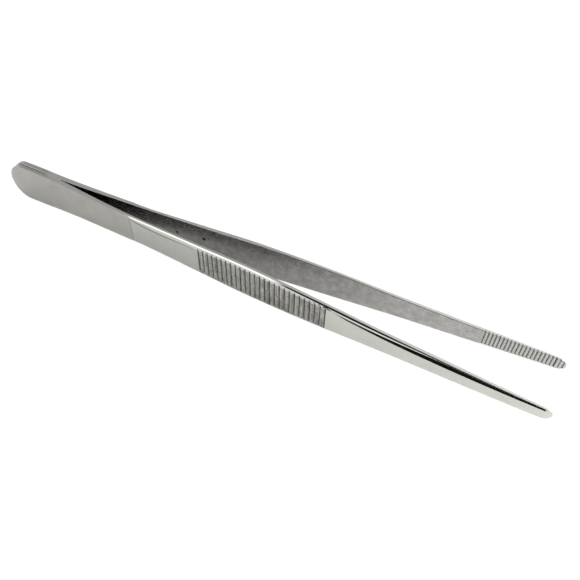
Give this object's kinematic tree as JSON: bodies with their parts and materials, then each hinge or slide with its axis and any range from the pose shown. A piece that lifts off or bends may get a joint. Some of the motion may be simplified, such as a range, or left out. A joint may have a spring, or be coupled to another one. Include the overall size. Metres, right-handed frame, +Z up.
{
  "type": "print tongs",
  "caption": "Long sprung stainless tongs with a rounded heel, ribbed finger grip and narrow serrated jaws, lying on their edges.",
  "frame": {"origin": "under the middle of the tongs' bounding box, on the surface they lie on", "axes": "+X from the heel to the jaw tips, +Y across the opening towards the left arm, +Z up"},
  "size_m": [0.2, 0.0198, 0.0146],
  "materials": {
    "satin_steel": "satin ground stainless steel",
    "polished_steel": "mirror polished stainless steel"
  },
  "bodies": {
    "heel": {"left_heel": "satin_steel", "right_heel": "satin_steel", "upper_weld": "satin_steel", "lower_weld": "satin_steel"},
    "left_arm": {"left_limb": "polished_steel"},
    "right_arm": {"right_limb": "polished_steel"}
  },
  "joints": [
    {"name": "left_flex", "type": "hinge", "parent": "heel", "child": "left_arm", "pos_m": [-0.05, 0.00263, 0.0073], "axis": [0, 0, -1], "range_deg": [0, 3.45], "stiffness_Nm_per_rad": 5},
    {"name": "right_flex", "type": "hinge", "parent": "heel", "child": "right_arm", "pos_m": [-0.05, -0.00263, 0.0073], "axis": [0, 0, 1], "range_deg": [0, 3.45], "stiffness_Nm_per_rad": 5}
  ],
  "couplings": [
    {"joint": "right_flex", "follows": "left_flex", "ratio": 1}
  ]
}
